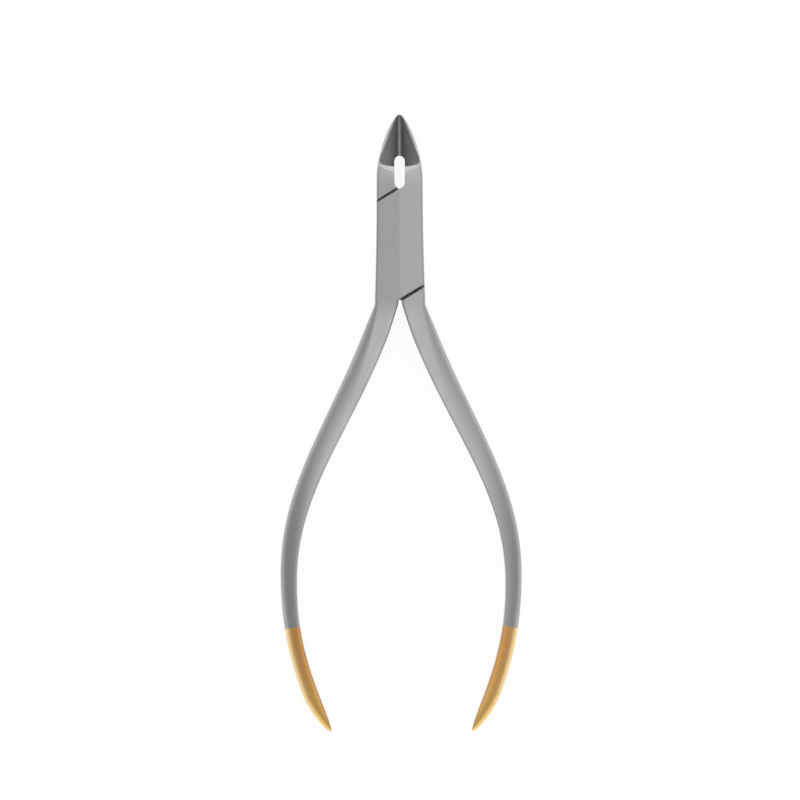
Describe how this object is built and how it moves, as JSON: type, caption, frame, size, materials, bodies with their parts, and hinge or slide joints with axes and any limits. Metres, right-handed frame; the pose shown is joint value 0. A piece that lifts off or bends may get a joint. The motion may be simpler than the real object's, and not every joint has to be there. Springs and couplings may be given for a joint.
{
  "type": "cutting pliers",
  "caption": "Slim orthodontic wire cutter with a pointed nose, brazed hard-metal cutting inserts, a lap joint and long bowed handles with gold-plated ends.",
  "frame": {"origin": "on the pivot axis, at the flush end of the rivet on the back of the joint, which is the face that the tool lies on", "axes": "+Y from the pivot to the tip, +Z along the pivot axis towards the front of the tool, +X to the right seen from the front"},
  "size_m": [0.0508, 0.13, 0.0064],
  "materials": {
    "stainless_steel": "satin",
    "gold_plating": "satin",
    "tungsten_carbide": "satin",
    "pin_steel": "satin"
  },
  "bodies": {
    "front_half": {"front_lever": "stainless_steel", "right_insert": "tungsten_carbide", "pivot_rivet": "pin_steel"},
    "back_half": {"back_lever": "stainless_steel", "left_insert": "tungsten_carbide"}
  },
  "joints": [
    {"name": "pivot", "type": "hinge", "parent": "front_half", "child": "back_half", "pos_m": [0, 0, 0], "axis": [0, 0, 1], "range_deg": [0, 35]}
  ]
}
